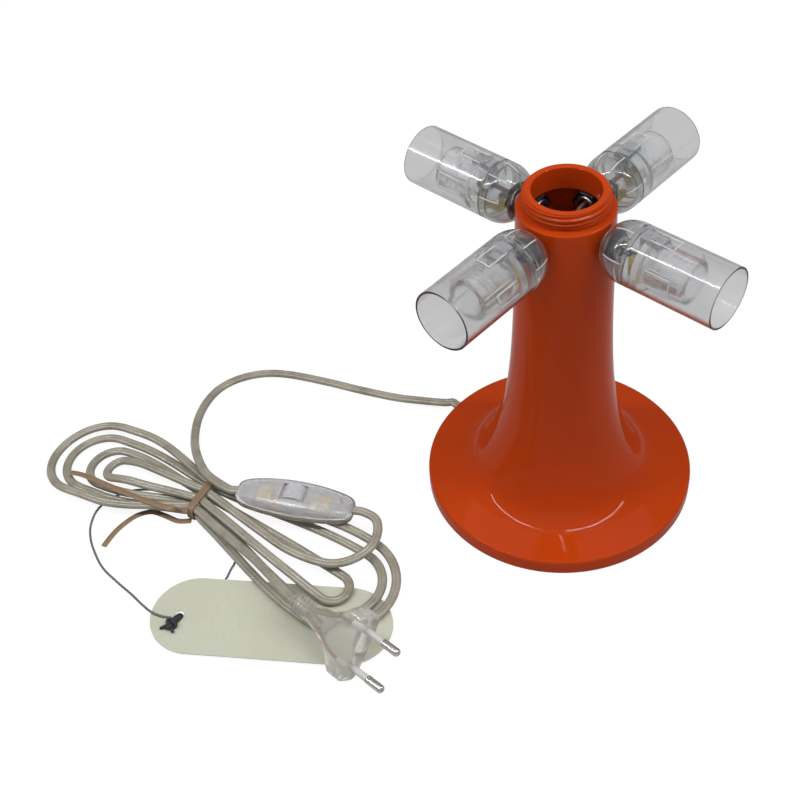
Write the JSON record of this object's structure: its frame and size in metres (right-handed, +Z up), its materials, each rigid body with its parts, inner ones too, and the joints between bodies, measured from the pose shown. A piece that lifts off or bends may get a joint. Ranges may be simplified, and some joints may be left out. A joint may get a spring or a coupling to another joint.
{
  "type": "desk lamp",
  "caption": "Desk lamp pedestal in glossy orange plastic with clear sideways lampholders under a threaded neck, and a clear flat cord with an in-line rocker switch, plug and hang tag.",
  "frame": {"origin": "on the table under the middle of the round base", "axes": "+Z up the column; the four lampholders point along +X, +Y, -X and -Y; the cord leaves the base's rim towards -X"},
  "size_m": [0.3015, 0.2877, 0.1804],
  "materials": {
    "orange_plastic": "glossy moulded orange-red",
    "clear_plastic": "clear moulded, polished",
    "brass": "bright sheet brass",
    "steel": "plated steel",
    "black_steel": "black",
    "felt": "felt",
    "ballast": "rough cast",
    "white_plastic": "matt white",
    "rocker_plastic": "pale, faintly lavender",
    "cord": "clear flat twin flex over tinned strands",
    "brown_wire": "wire insulation",
    "blue_wire": "wire insulation",
    "tie": "brown wire tie",
    "card": "plain cream card",
    "string": "thin grey elastic"
  },
  "bodies": {
    "lamp": {"pedestal": "orange_plastic", "base_plate": "steel", "base_felt": "felt", "base_weight": "ballast", "base_screws": "steel", "cord_bush": "orange_plastic", "cord_inner": "cord", "cord_clamp": "white_plastic", "clamp_screws": "steel", "terminal_block": "white_plastic", "terminal_screws": "brass", "nipples": "steel", "lock_nuts": "black_steel", "live_leads": "brown_wire", "neutral_leads": "blue_wire", "right_cap": "clear_plastic", "right_sleeve": "clear_plastic", "right_insert": "clear_plastic", "right_strip": "brass", "right_terminal": "steel", "back_cap": "clear_plastic", "back_sleeve": "clear_plastic", "back_insert": "clear_plastic", "back_strip": "brass", "back_terminal": "steel", "left_cap": "clear_plastic", "left_sleeve": "clear_plastic", "left_insert": "clear_plastic", "left_strip": "brass", "left_terminal": "steel", "front_cap": "clear_plastic", "front_sleeve": "clear_plastic", "front_insert": "clear_plastic", "front_strip": "brass", "front_terminal": "steel", "switch_base": "clear_plastic", "switch_cover": "clear_plastic", "switch_terminals": "brass", "switch_screws": "steel", "cord_grips": "white_plastic", "plug_body": "clear_plastic", "plug_pins": "steel", "pin_sleeves": "white_plastic", "cord_lead": "cord", "cord_hank": "cord", "cord_tie": "tie", "hang_tag": "card", "tag_string": "string"},
    "rocker": {"switch_rocker": "rocker_plastic", "rocker_axle": "steel"},
    "contact_arm": {"contact_arm": "brass"},
    "right_contact": {"right_tongue": "brass"},
    "back_contact": {"back_tongue": "brass"},
    "left_contact": {"left_tongue": "brass"},
    "front_contact": {"front_tongue": "brass"}
  },
  "joints": [
    {"name": "rocker_tilt", "type": "hinge", "parent": "lamp", "child": "rocker", "pos_m": [-0.0826, -0.1087, 0.0163], "axis": [-0.454, 0.891, 0], "range_deg": [0, 16]},
    {"name": "contact_swing", "type": "hinge", "parent": "lamp", "child": "contact_arm", "pos_m": [-0.0826, -0.1087, 0.0121], "axis": [-0.454, 0.891, 0], "range_deg": [0, 9]},
    {"name": "right_contact_press", "type": "hinge", "parent": "lamp", "child": "right_contact", "pos_m": [0.0468, 0, 0.15719], "axis": [0, -1, 0], "range_deg": [0, 20], "stiffness_Nm_per_rad": 0.02},
    {"name": "back_contact_press", "type": "hinge", "parent": "lamp", "child": "back_contact", "pos_m": [0, 0.0468, 0.15719], "axis": [1, 0, 0], "range_deg": [0, 20], "stiffness_Nm_per_rad": 0.02},
    {"name": "left_contact_press", "type": "hinge", "parent": "lamp", "child": "left_contact", "pos_m": [-0.0468, 0, 0.15719], "axis": [0, 1, 0], "range_deg": [0, 20], "stiffness_Nm_per_rad": 0.02},
    {"name": "front_contact_press", "type": "hinge", "parent": "lamp", "child": "front_contact", "pos_m": [0, -0.0468, 0.15719], "axis": [-1, 0, 0], "range_deg": [0, 20], "stiffness_Nm_per_rad": 0.02}
  ],
  "couplings": [
    {"joint": "contact_swing", "follows": "rocker_tilt", "ratio": 0.5625}
  ]
}
